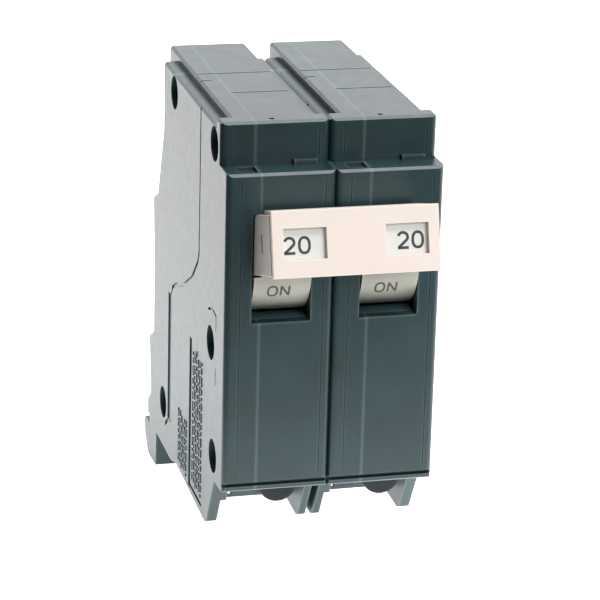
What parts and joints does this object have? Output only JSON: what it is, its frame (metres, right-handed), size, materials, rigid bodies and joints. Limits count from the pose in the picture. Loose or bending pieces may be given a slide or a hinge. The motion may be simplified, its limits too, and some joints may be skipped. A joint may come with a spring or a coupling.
{
  "type": "circuit breaker",
  "caption": "Plug-on two-pole miniature circuit breaker with tied switching handles, bus stab jaws, a rail hook and screw terminals for the load wires.",
  "frame": {"origin": "middle of the rail slot in the mounting hook, at the bottom of the slot and midway between the poles", "axes": "+X across the poles to the right as seen from the front, +Y from the handle side towards the panel, +Z towards the line end"},
  "size_m": [0.0381, 0.0859, 0.085],
  "materials": {
    "case": "satin dark grey-green moulded plastic",
    "handle": "satin warm grey moulded plastic",
    "tie": "satin pinkish beige paint",
    "steel": "zinc-plated steel",
    "dark_steel": "blackened steel",
    "copper": "copper strip, polished in use",
    "silver": "silver contact alloy",
    "tin": "tin-plated strip",
    "fibre": "pressed vulcanised fibre",
    "bimetal": "rolled bimetal"
  },
  "bodies": {
    "housing": {"case_cover_a": "case", "case_cover_b": "case", "case_base_a": "case", "case_base_b": "case", "line_jaw_a": "copper", "line_jaw_b": "copper", "jaw_spring_a": "steel", "jaw_spring_b": "steel", "fixed_contact_a": "silver", "fixed_contact_b": "silver", "arm_pin_a": "steel", "arm_pin_b": "steel", "cradle_pin_a": "steel", "cradle_pin_b": "steel", "bimetal_a": "bimetal", "bimetal_b": "bimetal", "magnet_yoke_a": "dark_steel", "magnet_yoke_b": "dark_steel", "braid_a": "copper", "braid_b": "copper", "arc_boards_a": "fibre", "arc_boards_b": "fibre", "arc_plates_a": "steel", "arc_plates_b": "steel", "load_terminal_a": "tin", "load_terminal_b": "tin", "case_rivets": "dark_steel"},
    "handle_set": {"handle_a": "handle", "handle_b": "handle", "handle_tie": "tie"},
    "arm_a": {"contact_arm_a": "copper", "moving_contact_a": "silver", "toggle_spring_a": "steel"},
    "arm_b": {"contact_arm_b": "copper", "moving_contact_b": "silver", "toggle_spring_b": "steel"},
    "trip_set": {"cradle_a": "steel", "cradle_b": "steel", "trip_bar": "dark_steel"},
    "magnet_flap_a": {"armature_a": "dark_steel"},
    "magnet_flap_b": {"armature_b": "dark_steel"},
    "clamp_a": {"pressure_plate_a": "tin"},
    "clamp_b": {"pressure_plate_b": "tin"},
    "screw_a": {"terminal_screw_a": "dark_steel"},
    "screw_b": {"terminal_screw_b": "dark_steel"}
  },
  "joints": [
    {"name": "handle_swing", "type": "hinge", "parent": "housing", "child": "handle_set", "pos_m": [0, -0.0574, 0.0528], "axis": [1, 0, 0], "range_deg": [0, 42]},
    {"name": "trip", "type": "hinge", "parent": "housing", "child": "trip_set", "pos_m": [0, -0.0464, 0.0278], "axis": [1, 0, 0], "range_deg": [0, 18]},
    {"name": "contact_a", "type": "hinge", "parent": "housing", "child": "arm_a", "pos_m": [-0.00955, -0.0334, 0.0398], "axis": [1, 0, 0], "range_deg": [0, 19]},
    {"name": "magnet_a", "type": "hinge", "parent": "housing", "child": "magnet_flap_a", "pos_m": [-0.00955, -0.0252, 0.0358], "axis": [1, 0, 0], "range_deg": [0, 4], "stiffness_Nm_per_rad": 0.002},
    {"name": "clamp_a_slide", "type": "slide", "parent": "housing", "child": "clamp_a", "axis": [0, -1, 0], "range_m": [0, 0.0024]},
    {"name": "screw_a_turn", "type": "hinge", "parent": "clamp_a", "child": "screw_a", "pos_m": [-0.00705, -0.0584, 0.0097], "axis": [0, 1, 0], "range_deg": [-1089.16, 1]},
    {"name": "contact_b", "type": "hinge", "parent": "housing", "child": "arm_b", "pos_m": [0.0095, -0.0334, 0.0398], "axis": [1, 0, 0], "range_deg": [0, 19]},
    {"name": "magnet_b", "type": "hinge", "parent": "housing", "child": "magnet_flap_b", "pos_m": [0.0095, -0.0252, 0.0358], "axis": [1, 0, 0], "range_deg": [0, 4], "stiffness_Nm_per_rad": 0.002},
    {"name": "clamp_b_slide", "type": "slide", "parent": "housing", "child": "clamp_b", "axis": [0, -1, 0], "range_m": [0, 0.0024]},
    {"name": "screw_b_turn", "type": "hinge", "parent": "clamp_b", "child": "screw_b", "pos_m": [0.012, -0.0584, 0.0097], "axis": [0, 1, 0], "range_deg": [-1089.16, 1]}
  ],
  "couplings": [
    {"joint": "contact_a", "follows": "handle_swing", "ratio": 0.45012},
    {"joint": "screw_a_turn", "follows": "clamp_a_slide", "rad_per_m": -7913.3},
    {"joint": "contact_b", "follows": "handle_swing", "ratio": 0.45012},
    {"joint": "screw_b_turn", "follows": "clamp_b_slide", "rad_per_m": -7913.3}
  ]
}
